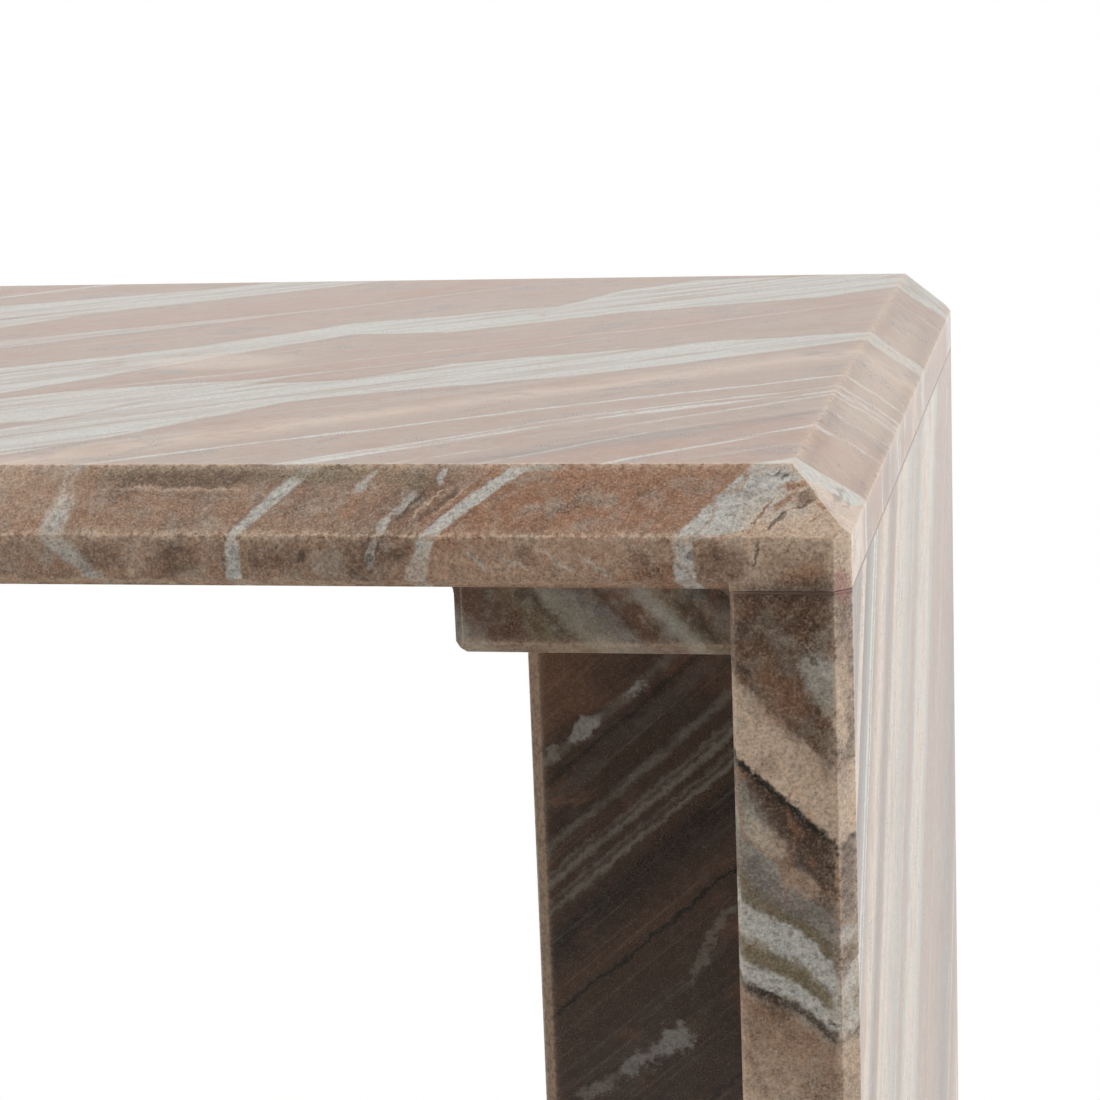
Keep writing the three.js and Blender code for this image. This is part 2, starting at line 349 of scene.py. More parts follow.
def profile(sheet, along, points):
    """A level that changes along the beds, from a list of places and levels in millimetres."""
    low = min(level for place, level in points)
    reach = max(max(level for place, level in points) - low, 1.0)
    stops = [(place, (level - low) / reach) for place, level in points]
    return sheet.ramp(along, stops, 1) * reach + low


def lay_bands(coat, beds, level, bands, streaks):
    """Pale bands with streaks in them and a white rim along each side."""
    sheet = coat.sheet
    solid = sheet.smooth(streaks, 0.33, 0.44)
    for upper, lower, strength in bands:
        above = level - profile(sheet, beds.along, upper)
        below = profile(sheet, beds.along, lower) - level
        depth = sheet.math("MINIMUM", above, below)
        inside = sheet.smooth(depth, -2.2, 2.2)
        coat.lay(SAGE, inside * solid * strength)
        rim = sheet.smooth(depth, 5.5, 1.0)
        core = sheet.smooth(streaks, 0.44, 0.56)
        white = inside * sheet.math("MAXIMUM", rim, core) * solid
        coat.lay(CALCITE, white * strength * 0.7)
        coat.lay(UMBER, sheet.smooth(abs(depth + 2.4), 1.8, 0.2) * 0.25)


def lay_lines(coat, beds, level, lines, streaks, here):
    """Thin white lines on the flat of the top, each with its own way along the beds."""
    sheet = coat.sheet
    solid = sheet.smooth(streaks, 0.34, 0.5)
    for points, half_width, softness, strength in lines:
        off = abs(level - profile(sheet, beds.along, points))
        inside = sheet.smooth(off, half_width + softness, half_width - softness * 0.5)
        coat.lay(CALCITE, inside * solid * here * strength)


def bed_middle(beds, block, at, lean):
    """Where a vein or a crack lies across the beds, leaning with the distance from the knee."""
    return (beds.third - block["knee"]) * lean[0] + at if lean else at


def broken_up(inside, gaps, strength):
    """A mask that a weak vein's gaps break up and a strong vein's hardly touch."""
    firm = strength * strength
    return inside * (gaps * (strength - firm) + firm)


def lay_veins(coat, beds, level, block, here):
    """Sugary white, grey or coloured veins that swell, thin out and break off."""
    sheet = coat.sheet
    swell = sheet.noise(beds.point, 14, 3) * 1.6 + 0.2
    gaps = sheet.smooth(sheet.noise(beds.point, 11, 3), 0.38, 0.58)
    for at, half_width, softness, name, strength, *lean in block["veins"]:
        middle = bed_middle(beds, block, at, lean)
        width = swell * half_width
        off = abs(level + beds.ragged - middle)
        inside = sheet.smooth(off, width + softness, width - softness * 0.3)
        coat.lay(name, broken_up(inside, gaps, strength) * here)


def lay_wedges(coat, beds, level, wedges):
    """Beds that thin out: one side stays at a level, the other moves between two others."""
    sheet = coat.sheet
    for fixed, start, end, axis, low, high, name, strength in wedges:
        edge = sheet.smooth(sheet.dot(beds.point, axis), low, high) * (end - start) + start
        middle = edge * 0.5 + fixed * 0.5
        half_width = abs(edge - fixed) * 0.5
        off = abs(level + beds.ragged - middle)
        coat.lay(name, sheet.smooth(off - half_width, 0.45, -0.35) * strength)


def lay_cracks(coat, beds, level, block):
    """Rusty threads everywhere, and the thin cracks of this block."""
    sheet = coat.sheet
    threads = abs(sheet.noise(beds.drawn_out(34, 120, 40), 1.0, 3, 0.6) - 0.5)
    thread = sheet.smooth(threads + beds.ragged * 0.004, 0.012, 0.004)
    some = sheet.smooth(sheet.noise(beds.point, 60, 1), 0.5, 0.62)
    coat.lay(RUST, thread * some * 0.5)
    gaps = sheet.smooth(sheet.noise(beds.point, 9, 1), 0.34, 0.5)
    for at, half_width, name, strength, *lean in block["cracks"]:
        middle = bed_middle(beds, block, at, lean)
        off = abs(level + beds.ragged - middle)
        inside = sheet.smooth(off, half_width * 2, half_width * 0.3)
        coat.lay(name, broken_up(inside, gaps, strength))


def lay_patches(coat, point, block, frayed):
    """Blotches and short streaks, each an ellipsoid with a frayed outline."""
    sheet = coat.sheet
    for x, *y, z, turn, wide, deep, high, name, strength in block["patches"]:
        centre = (x, y[0] if y else block["face"], z)
        near = sheet.blob(point, centre, turn, (wide, deep, high)) - frayed
        coat.lay(name, sheet.smooth(near, 0.37, 0.72) * strength)


def blended(first, second, share):
    """A plain colour between two others. 0 gives the first and 1 the second."""
    return tuple((1 - share) * a + share * b for a, b in zip(first, second))


def stone_palette(stone):
    """The settings' colours by name, and three more between them."""
    palette = {key: tuple(getattr(stone, key)) for key in BASE}
    palette[BLUSH] = blended(palette[CREAM], palette[RUST], 0.4)
    palette[SOIL] = blended(palette[UMBER], palette[INK], 0.5)
    # Painted shade: umber darkened toward ink, for the fin that sits in the shadow under the top
    palette[SHADED_UMBER] = blended(palette[UMBER], palette[INK], 0.35)
    return palette


def marble(name, block, planes, rims, joint_tint=None):
    """One stone piece's material, from the lie of its beds, its tones, veins and patches."""
    stone = bpy.context.scene.table_stone
    palette = stone_palette(stone)
    material, sheet = new_material(name)
    point = sheet.place_mm()
    beds = Beds(sheet, point, block["across"], block["along"])
    coat = Coat(sheet, palette)

    # Where the beds wander
    calm = block["calm"](sheet, point) if "calm" in block else 1.0
    wander = sheet.swing(point, 150, block["wander"]) * calm
    drift = sheet.swing(beds.drawn_out(26, 190, 26), 1.0, block["drift"]) * calm
    ripple = sheet.swing(point, 28, block["ripple"]) + drift
    ragged = sheet.swing(point, 2.6, block["ragged"], 5)
    beds.ragged = ragged
    level = beds.across + wander + ripple
    if "shift" in block:
        level = level + block["shift"](sheet, point)

    # Broad tones, clouds and streaks
    quiet = block["quiet"](sheet, point) if "quiet" in block else 1.0
    streaks = sheet.noise(beds.drawn_out(5, 95, 8), 1.0, 4, 0.62)
    feather = (streaks - 0.5) * block["feather"]
    tones = [(at, palette[key]) for at, key in block["tones"]]
    coat.colour = sheet.ramp(level + ragged + feather, tones)
    clouds = sheet.noise(beds.drawn_out(15, 30, 11), 1.0, 4, 0.6)
    coat.lay(RUST, sheet.smooth(clouds, 0.5, 0.7) * block["rusty"])
    coat.lay(UMBER, sheet.smooth(clouds, 0.48, 0.3) * block["shady"])
    coat.lay(SAGE, sheet.smooth(streaks, 0.54, 0.74) * block["pale"])
    fine = sheet.noise(beds.drawn_out(1.2, 60, 1.6), 1.0, 3, 0.6)
    dark = sheet.smooth(fine, 0.5, 0.28)
    light = sheet.smooth(fine, 0.53, 0.75)
    fineness = quiet * block["fine"]
    coat.lay(UMBER, dark * fineness)
    coat.lay(CREAM, light * fineness)
    dusty = sheet.smooth(sheet.noise(point, 6, 4, 0.65), 0.45, 0.68)
    coat.lay(SAGE, dusty * quiet * block["dusty"])

    # Bands, veins, thinning beds, cracks and blotches. Calcite is white with greyer crystals.
    milk = sheet.noise(point, 1.7, 3, 0.65)
    palette[CALCITE] = sheet.mix(
        sheet.smooth(milk, 0.46, 0.66) * 0.5, palette[CALCITE], palette[SLATE])
    here = 1.0
    if "flat" in block:
        flat = sheet.smooth(sheet.dot(point, Y), *block["flat"])
        way = beds.across + sheet.swing(beds.drawn_out(9, 60, 9), 1.0, 3.5, 3) + ragged * 0.6
        way = way + block["shift"](sheet, point)
        lay_bands(coat, beds, way, block["bands"], streaks)
        lay_lines(coat, beds, way, block["lines"], streaks, flat)
        here = 1.0 - flat
    lay_veins(coat, beds, level, block, here)
    lay_wedges(coat, beds, level, block.get("wedges", ()))
    lay_cracks(coat, beds, level, block)
    frayed = sheet.swing(point, 5, 0.12, 4)
    bent = sheet.pushed(point, 4, block["fray"])
    lay_patches(coat, bent, block, frayed)

    # Edges lighter in patches, part bruising that hand polishing leaves and part painted highlight along
    # each arris, and the narrow bevels painted cream as a painted highlight
    patchy = sheet.smooth(milk, 0.36, 0.58)
    # Painted highlight: arrises lighter, partly for wear and partly for the light they catch
    worn_and_highlit = arris_mask(sheet, point, planes, 1.0) * patchy
    coat.lay(CREAM, worn_and_highlit * block["worn_and_highlit"])
    # Painted highlight: cream on the narrow bevels stands in for the side and floor light they catch
    coat.lay(CREAM, rim_mask(sheet, point, rims, 0.5) * (patchy * 0.5 + 0.5) * block["rim"])

    # Stone darker along the glued joint, and rose resin at its front corner
    colour = joint_tint(sheet, point, coat.colour) if joint_tint else coat.colour

    # Crystals
    size = stone.crystal * PER_MM
    crystal = sheet.cells(point, size)
    sugar = sheet.noise(point, size * 0.8, 2, 0.6)
    mottle = sheet.noise(point, size * 3.2, 4, 0.7)
    grain = (crystal - 0.5) * 0.42 + (sugar - 0.5) * 1.6 + (mottle - 0.5) * 1.5
    strength = quiet * block["grain"]
    coat.colour = sheet.scaled(colour, grain * 0.7 * strength + 0.97)
    # Pale specks: part the marble's own paler crystals, part painted glint where crystal faces would catch
    # the light
    palette[FROST] = sheet.mix(0.5, palette[CREAM], palette[SAGE])
    pale_specks = sheet.smooth(sugar, 0.48, 0.68) * sheet.smooth(mottle, 0.36, 0.6)
    coat.lay(FROST, pale_specks * 0.32 * strength)
    speck = sheet.smooth(crystal, 0.03, 0.0) * sheet.smooth(mottle, 0.5, 0.62) * strength
    coat.lay(INK, speck * 0.6)

    roughness = stone.polish + (clouds - 0.5) * 0.12 + (sugar - 0.5) * 0.1 + worn_and_highlit * 0.08
    height = crystal * 0.35 + sugar * 0.65 - speck * 0.8
    constants = {"IOR": 1.52, "Subsurface Weight": 0.1, "Subsurface Scale": 1.0 * MM,
                 "Subsurface Radius": (4.0, 2.6, 1.8)}
    return principled(sheet, material, coat.colour, roughness, height, 0.02, constants)


# Where the beds of each block change, in millimetres

TRUE_BEDS, WILD_BEDS = 22, 90
FLAT_START, BEVEL_END = -185, -188
END_LEAN = 6.4
BOW_FROM, BOW_TO, BOW_TOP, BOW_FOOT = 268, 249, 408, 392
BOW = 3.2
OTHER_SIDE_BEDS, OTHER_FIN_BEDS = 236, -264


def near_front(sheet, point):
    """The beds run true close to the front edge and wander further back."""
    front = slab_low.y * PER_MM
    return sheet.smooth(sheet.dot(point, Y), front + TRUE_BEDS, front + WILD_BEDS)


def behind_bevel(sheet, point):
    """The flat of the top and its end bevel show less grain than the front."""
    return sheet.smooth(sheet.dot(point, Y), FLAT_START, BEVEL_END) * 0.6 + 0.4


def end_lean(sheet, point):
    """The beds lean back over the end bevel of the top."""
    end = slab_high.x * PER_MM
    start = end - TOP_BEVEL * PER_MM
    return sheet.smooth(sheet.dot(point, X), start, end) * END_LEAN


def leg_lean(sheet, point):
    """The beds low on the right side slab bow down, and the left one shows other beds."""
    across = sheet.dot(point, X)
    bow = sheet.smooth(across, BOW_FROM, BOW_TO)
    bow = bow * sheet.smooth(sheet.dot(point, Z), BOW_TOP, BOW_FOOT)
    return bow * BOW + sheet.smooth(across, 1, -1) * OTHER_SIDE_BEDS


def fin_lean(sheet, point):
    """The left fin shows other beds than the right one."""
    return sheet.smooth(sheet.dot(point, X), 1, -1) * OTHER_FIN_BEDS


# The blocks, in millimetres, with strengths from 0 to 1. Each has some of
# across, along: the directions across the beds and along them
# wander, drift, ripple, ragged: how far the beds swing, from broad to fine
# rusty, shady, pale, fine, dusty: clouds, streaks and dust, and feather: how far streaks blur tones
# grain: crystals, worn_and_highlit and rim: pale edges from wear and painted highlight, and narrow bevels
# with painted highlight, fray: how ragged blotches are
# calm, quiet, shift: where beds run true, where grain is weak, and how the beds lean
# tones: level across the beds, colour
# bands: upper side, lower side, strength. A side is a list of places along the beds and levels.
# lines: one such list, half width, softness, strength
# veins: level, half width, softness, colour, strength, and lean about the knee if any
# wedges: side that stays, other side's two levels, axis it moves along, from, to, colour, strength
# cracks: level, half width, colour, strength, and lean if any
# patches: x, y, z, turn in degrees, half sizes, colour, strength. y is the face where left out.
# flat: where the flat of the top begins, behind its front bevel

TOP_PATCHES = [
    (264, -197, 499, 0, 13, 9, 7, CREAM, 0.5), (262, -196, 500, -10, 9, 7, 4, CALCITE, 0.4),
    (74, -190, 506, 50, 7, 6, 3.4, BODY, 0.92), (68.4, -197, 499.5, 88, 5.4, 5, 1.7, CALCITE, 0.75),
    (69.8, -190, 506.6, 62, 4.6, 4, 0.5, RUST, 0.8), (272, -40, 502, 0, 8, 160, 9, CREAM, 0.35),
    (272.4, -191, 502, 0, 9, 5, 9, CREAM, 0.55), (271.5, -189.2, 502.5, -45, 8, 0.6, 1.6, SLATE, 0.55),
    (272.5, -191.8, 501.5, -45, 7, 0.6, 1.6, SLATE, 0.5), (274, -194, 500, -45, 5, 0.5, 1.6, UMBER, 0.5),
    (56, -12, 510, 0, 26, 16, 4, CREAM, 0.4), (47, -32, 510, 0, 6, 4, 2, SLATE, 0.7),
    # Painted highlight: the two long blush bands at z 481 brighten the slab's lower front and back arris
    # for the floor light
    (0, 481, 0, 268, 3, 1.5, BLUSH, 0.9), (0, 202.5, 481, 0, 268, 3, 1.5, BLUSH, 0.9),
    (196, 487, 4, 40, 5, 7, BLUSH, 0.6), (184, 487, -40, 5, 3, 0.6, CALCITE, 0.5),
    (192, 488, -35, 5, 3, 0.5, CALCITE, 0.5), (204, 488, -30, 6, 3, 0.5, CALCITE, 0.5),
    (215, 486, -38, 6, 3, 0.6, CALCITE, 0.45), (103, -189.2, 507.7, 0, 28, 5, 2.8, OLIVE, 0.8),
    (103, -189.8, 507, 0, 25, 5, 2.4, UMBER, 0.75), (107, -194, 502.6, 0, 8, 3, 1.5, UMBER, 0.4),
    (99, -192.2, 504.5, 0, 22, 2, 0.5, CREAM, 0.4), (60, -194, 503, 0, 16, 8, 8, BLUSH, 0.35),
    (142, -188.6, 508, 4, 13, 5, 2.8, OLIVE, 0.7), (163, -190, 506.6, -8, 9, 4, 3.4, OLIVE, 0.5),
    (170, -195, 502, 40, 9, 5, 0.5, CREAM, 0.6), (176, -195, 502, 38, 9, 5, 0.4, BLUSH, 0.7),
    (162.4, -196, 500.4, 46, 6, 5, 0.9, CALCITE, 0.55), (179.5, -198.5, 498, 42, 6, 5, 0.4, UMBER, 0.7),
    (151.8, -190.5, 506, 45, 4.6, 4, 1, CALCITE, 0.7), (148, -197, 499.6, 40, 5, 5, 1.8, RUST, 0.7),
    (172.3, -189.2, 507.4, 70, 3, 3, 1.1, CALCITE, 0.7), (165.5, -195, 501.4, 46, 9, 5, 0.7, SOIL, 0.75),
    (158.4, -200.5, 496.6, 55, 3.2, 4, 1.4, CALCITE, 0.7), (155.4, 490, 80, 4.4, 3, 1.2, CALCITE, 0.6),
    (173.4, -194.8, 501.8, 38, 10, 5, 0.9, UMBER, 0.85), (80, 488, 20, 7, 5, 4, UMBER, 0.5),
    (102, 488, -10, 6, 5, 5, UMBER, 0.6), (129, 488, 0, 8, 4, 4, UMBER, 0.45),
    (136.6, 488.5, 0, 1.5, 2, 1.2, INK, 0.6), (163, 489.5, 50, 3.4, 3, 2, SOIL, 0.5),
    (150, 483.7, 0, 1.4, 2, 1.1, INK, 0.5), (154.8, 488.4, 60, 1.6, 2, 0.6, INK, 0.6),
    (91, 487.5, 0, 3.4, 3, 4.6, CREAM, 0.35), (143, 487, 0, 5.4, 3, 4, SAGE, 0.45),
    (198.5, -187.2, 509.3, 0, 5.4, 2.6, 1.3, SAGE, 0.85), (230, -188, 508.4, 0, 26, 3, 2.2, RUST, 0.6),
    (196, 489.5, -30, 4, 3, 2.4, UMBER, 0.5), (226, 488.5, -40, 3.6, 3, 2, UMBER, 0.5),
    (260.4, -188.4, 508.1, 40, 1.4, 2.4, 0.5, INK, 0.7), (262.6, -189.2, 507.3, 0, 1.2, 2.4, 0.6, INK, 0.8),
    (261.8, -190, 506.5, 0, 0.7, 2, 0.4, INK, 0.6), (264.8, -191.4, 505.2, 14, 3.8, 3, 1, RUST, 0.75),
    (268.8, -193.6, 503, 20, 4, 3, 1.8, UMBER, 0.8), (262.6, -194.8, 501.8, 35, 4.6, 3, 0.7, RUST, 0.8),
    (265.6, -200, 496.6, 5, 11, 4, 3, CREAM, 0.6), (277, -201.4, 491, 0, 3.4, 4, 7, BLUSH, 0.7),
    (253.4, -193, 503.4, 0, 2.4, 3, 1.4, SLATE, 0.5), (239.2, 489.6, 0, 1.4, 2, 1, SLATE, 0.5),
    (248, 487, 0, 7, 4, 5, UMBER, 0.6), (267, 486.5, 0, 11, 3.5, 6.5, BODY, 0.6),
    (271, 482.8, 0, 8, 3.5, 2.6, UMBER, 0.6), (264, 491, -10, 7, 3, 2, CREAM, 0.35),
    (268, 484.4, 8, 7.4, 4, 2.4, RUST, 0.55), (257.2, -197.6, 499.2, 50, 7, 6, 0.4, RUST, 0.9),
    (264.8, -191.8, 504.9, 12, 3, 3, 0.4, RUST, 0.9), (267.8, -195.2, 501.4, 19, 4, 3, 0.45, SOIL, 0.8),
    (261.3, -198.6, 497.8, 39, 4.4, 4, 0.6, INK, 0.8), (256.2, 490, 80, 4.6, 3, 0.5, INK, 0.7),
    (265, 492, 55, 2.4, 2, 0.3, RUST, 0.9), (270, -198, 498, 20, 1.6, 2, 0.4, RUST, 0.8),
    (272.6, -195.4, 501, -45, 3.2, 1.2, 1.1, RUST, 0.8), (274.6, -176, 499.4, 0, 5, 12, 0.7, UMBER, 0.6),
    (277, -176, 497.4, 0, 4, 8, 0.5, SLATE, 0.7)]

TOP_BLOCK = dict(
    across=(0.65, -0.76, 0), along=(0.76, 0.65, 0), knee=494, wander=8, ripple=1.2, drift=7,
    rim=0.5, fine=0.28, dusty=0.4, grain=1, worn_and_highlit=0.9, ragged=0.75, fray=0.9, feather=13, rusty=0.45,
    shady=0.65, pale=0.4, calm=near_front, shift=end_lean, quiet=behind_bevel, flat=(-187.6, -186),
    tones=[
        (-340, BODY), (-302, UMBER), (-280, BODY), (-258, SAGE), (-238, CREAM), (-226, SAGE), (-218, BODY),
        (-180, RUST), (-150, BODY), (-84, BODY), (-60, RUST), (-12, BODY), (60, BODY), (80, RUST),
        (100, BODY), (160, BODY), (172, BLUSH), (185, BODY), (248, BODY), (256, UMBER), (264, RUST),
        (300, RUST), (312, BODY), (319, CREAM), (340, CREAM)],
    bands=[
        (((-340, 118), (-200, 112), (-80, 124), (-66, 121), (-1, 100), (19, 92), (51, 110),
          (90, 104), (125, 113), (182, 124), (226, 142), (300, 146)),
         ((-340, 150), (-200, 168), (-80, 161), (-48, 154), (-16, 144), (19, 134), (49, 136),
          (103, 151), (164, 153), (213, 154), (300, 158)), 0.9),
        (((-340, 5), (-200, -12), (-26, 6), (42, 10), (105, -2), (182, 13), (222, -7),
          (256, -11), (298, 13)),
         ((-340, 52), (-200, 40), (-43, 56), (30, 37), (95, 21), (122, 41), (192, 43),
          (265, 60), (291, 57)), 0.9),
        (((-340, -150), (-100, -140), (27, -144), (64, -137), (102, -130), (250, -120)),
         ((-340, -70), (-100, -100), (7, -88), (49, -99), (89, -97), (250, -105)), 0.8),
        (((-340, 60), (-80, 64), (-33, 68), (0, 76), (30, 88), (60, 92), (300, 92)),
         ((-340, 100), (-80, 104), (-50, 113), (-20, 104), (10, 96), (40, 92), (300, 90)), 0.8),
        (((-340, -66), (-60, -60), (30, -52), (120, -44), (300, -52)),
         ((-340, -30), (-60, -34), (30, -40), (120, -41), (300, -56)), 0.5)],
    lines=[
        (((-340, 170), (-60, 188), (76, 198), (171, 207), (300, 214)), 0.9, 0.9, 0.9),
        (((-340, 236), (-19, 228), (64, 220), (153, 227), (300, 232)), 1.5, 1.3, 0.95),
        (((-340, 232), (-19, 225), (64, 215), (153, 221), (300, 226)), 0.8, 0.7, 0.8),
        (((-340, 250), (-10, 244), (90, 237), (153, 232), (300, 240)), 0.8, 0.9, 0.8),
        (((-340, 300), (45, 281), (117, 270), (300, 262)), 0.8, 0.8, 0.85),
        (((-340, 262), (0, 262), (80, 250), (300, 250)), 0.5, 0.6, 0.5),
        (((-340, 60), (0, 70), (200, 84), (300, 80)), 0.6, 0.6, 0.5),
        (((-340, -170), (0, -166), (120, -176), (300, -160)), 1.4, 0.8, 0.7)],
    veins=[
        (198, 1.3, 1.4, CALCITE, 0.7, -0.6), (230.5, 1.3, 0.6, CALCITE, 0.95),
        (264.8, 1.5, 0.6, CALCITE, 0.95, 0.18), (-246, 2.4, 1, CALCITE, 0.8)],
    wedges=[(306.8, 310, 317.6, Z, 492.5, 496.5, CALCITE, 0.96)],
    cracks=[(266.9, 0.4, RUST, 0.8, 0.18), (229, 0.4, UMBER, 0.4), (-217, 0.4, INK, 0.5)],
    face=-202.5, patches=TOP_PATCHES)

SIDE_PATCHES = [
    (272.6, 456, -62, 10, 5, 4.2, SAGE, 0.9), (274, 460, -62, 5, 5, 2, CALCITE, 0.5),
    (270.8, 462, 0, 1.5, 2, 1.2, INK, 0.6), (271, 448.5, 0, 0.9, 2, 1, INK, 0.6),
    (277, 446, -82, 9, 4, 1.8, CREAM, 0.8), (252, 471, 0, 3, 3, 3, SOIL, 0.6),
    (251.5, 459.6, -40, 3.4, 3, 1, SOIL, 0.7), (260, 455, -50, 7, 4, 3, RUST, 0.3),
    (268, 472, 0, 7, 4, 2.6, SOIL, 0.4), (257, 414, -35, 7, 4, 3.4, CREAM, 0.5),
    (253, 405, -20, 5, 4, 3, SLATE, 0.5), (266, 402, -40, 6, 4, 3, BLUSH, 0.5),
    (271, 432, -50, 8, 4, 3, BLUSH, 0.5), (262, 444, -50, 6, 4, 0.5, RUST, 0.6),
    (257, 370.6, -28, 4, 3, 0.9, INK, 0.8), (274.6, 364, -10, 2.4, 3, 0.8, INK, 0.8),
    (258, 368, -28, 5, 4, 2, UMBER, 0.6), (277.7, -200.6, 456, 0, 2.6, 3, 11, CREAM, 0.6),
    (277.4, -200.9, 404, 0, 3.6, 4, 8.6, SOIL, 0.6), (275.2, -202.3, 403, 86, 8, 2, 0.6, RUST, 0.85),
    (277.5, -200.8, 391.6, 0, 3, 4, 1, RUST, 0.6), (277.5, -200.8, 388.4, 0, 3.4, 4, 2.4, CALCITE, 0.7),
    (276.4, -201.6, 380.6, 75, 5.4, 4, 1.8, SOIL, 0.7), (277, -201.2, 368, 0, 3.6, 4, 7, CALCITE, 0.75),
    (277.4, -201, 355, 0, 3.6, 4, 6, CREAM, 0.6)]

SIDE_BLOCK = dict(
    across=(0.441, -0.751, 0.491), along=(0, 0.55, 0.84), wander=2, ripple=0.9, drift=0, rim=0.12,
    fine=0.22, dusty=0.3, grain=0.9, worn_and_highlit=0.7, ragged=1, fray=1.4, feather=5, rusty=0.4, shady=0.4,
    pale=0.3, shift=leg_lean,
    tones=[
        (-40, UMBER), (0, BODY), (40, SAGE), (66, CREAM), (96, BODY), (150, UMBER), (205, BODY),
        (262, BODY), (270, SAGE), (300, CREAM), (322, SAGE), (328, BODY), (360, SAGE), (382, CREAM),
        (388, SAGE), (396, CREAM), (402, BODY), (412, UMBER), (430, CREAM), (447.4, BODY), (450.2, SAGE),
        (458, SAGE), (462, SLATE), (470, SAGE), (476, UMBER), (477.4, CREAM), (485.5, CREAM), (488, UMBER),
        (500, UMBER), (512, UMBER)],
    veins=[
        (451.7, 1.1, 0.7, CALCITE, 0.97), (458, 1.9, 0.7, CALCITE, 0.97), (454.3, 0.9, 0.8, OLIVE, 0.85),
        (391, 2.2, 1.4, CALCITE, 0.6), (312, 4, 2.5, CALCITE, 0.6), (284, 5, 3, CALCITE, 0.6),
        (343, 1, 0.8, CALCITE, 0.6), (372, 0.8, 0.8, CALCITE, 0.6), (424, 1, 0.8, CALCITE, 0.7),
        (223, 1.2, 0.8, CALCITE, 0.5), (118, 2, 1.2, CALCITE, 0.7), (20, 1.2, 1, CALCITE, 0.7)],
    wedges=[
        (476.5, 475.2, 463, X, 247, 268, SLATE, 0.55),
        (476.5, 475.4, 466, X, 249, 268, UMBER, 0.6),
        (476.5, 475.6, 468.5, X, 250, 270, SOIL, 0.6),
        (476.5, 475.8, 472, X, 251, 272, SOIL, 0.7)],
    cracks=[
        (476.8, 0.5, INK, 1), (461, 0.7, OLIVE, 0.8), (449.5, 0.6, INK, 0.8), (487.6, 0.5, UMBER, 0.6),
        (402, 0.4, UMBER, 0.6), (262, 0.4, UMBER, 0.6)],
    face=-202.5, patches=SIDE_PATCHES)

FIN_PATCHES = [
    (173.5, 388.6, 40, 6.4, 9, 2.6, CALCITE, 0.7), (190.5, 401.6, 30, 4.5, 9, 1.8, CALCITE, 0.6),
    (162.5, 379.6, 40, 4, 9, 1.8, SAGE, 0.6), (199, 281, 36, 9, 12, 4.4, CALCITE, 0.62),
    (187, 272, 30, 8, 12, 3.4, CALCITE, 0.5), (173, 263, 30, 8, 12, 3, SAGE, 0.5),
    (193, 282, 68, 5, 10, 0.6, SOIL, 0.6), (190, 269, -50, 4, 10, 0.5, SOIL, 0.6),
    (211, 312, 66, 13, 12, 1.8, SAGE, 0.4), (219, 326, 45, 7, 10, 2.6, SAGE, 0.4),
    (209, 290, 50, 7, 10, 2, OLIVE, 0.4), (190, 268, 30, 5, 9, 1.2, OLIVE, 0.5)]

# Painted shade: the fin's tones lean on a dark umber mixed toward ink and on soil, darkening its stone for
# the shadow under the top
FIN_BLOCK = dict(
    across=(-0.65, 0, 0.76), along=(0.76, 0, 0.65), wander=2, ripple=1.6, drift=1, rim=0.85,
    fine=0.12, dusty=0.06, grain=0.6, worn_and_highlit=0.5, ragged=1.7, fray=2.6, feather=7, rusty=0.5, shady=0.3,
    pale=0.12, shift=fin_lean,
    tones=[
        (-190, SHADED_UMBER), (-150, BODY), (-120, SAGE), (-108, BODY), (-70, SHADED_UMBER), (-30, RUST), (0, BODY),
        (22, SHADED_UMBER), (40, SAGE), (50, SHADED_UMBER), (72, SOIL), (92, SOIL), (104, SHADED_UMBER), (112, SHADED_UMBER), (120, UMBER),
        (127, SOIL), (136, INK), (140, SHADED_UMBER), (156, SHADED_UMBER), (163, SOIL), (170, SOIL), (178, SHADED_UMBER),
        (186, SHADED_UMBER), (194, UMBER), (220, RUST), (246, BODY), (262, SHADED_UMBER)],
    veins=[
        (143.6, 0.4, 1.4, SAGE, 0.6), (146.2, 0.2, 1.2, SAGE, 0.35), (150.6, 0.5, 1.6, SAGE, 0.62),
        (153.2, 0.2, 1.2, SAGE, 0.4), (160.4, 0.4, 2.2, SAGE, 0.45), (172.3, 1.2, 2.6, SLATE, 0.3),
        (182.6, 0.7, 2, SAGE, 0.5), (231, 1.4, 1.2, SAGE, 0.6), (10, 2, 1.5, CALCITE, 0.6),
        (-98, 2.4, 1.5, CALCITE, 0.6)],
    cracks=[(115, 0.6, INK, 0.95), (177.2, 0.8, INK, 0.7), (60, 0.5, INK, 0.7), (-46, 0.5, INK, 0.7)],
    face=-15, patches=FIN_PATCHES)

CLEAT_PATCHES = [
    (180, 466.5, 30, 3, 3, 2, SLATE, 0.6), (193.6, 476.5, 0, 3, 4, 2, SOIL, 0.7),
    (238, 472.5, -60, 5, 5, 2.2, SOIL, 0.6)]

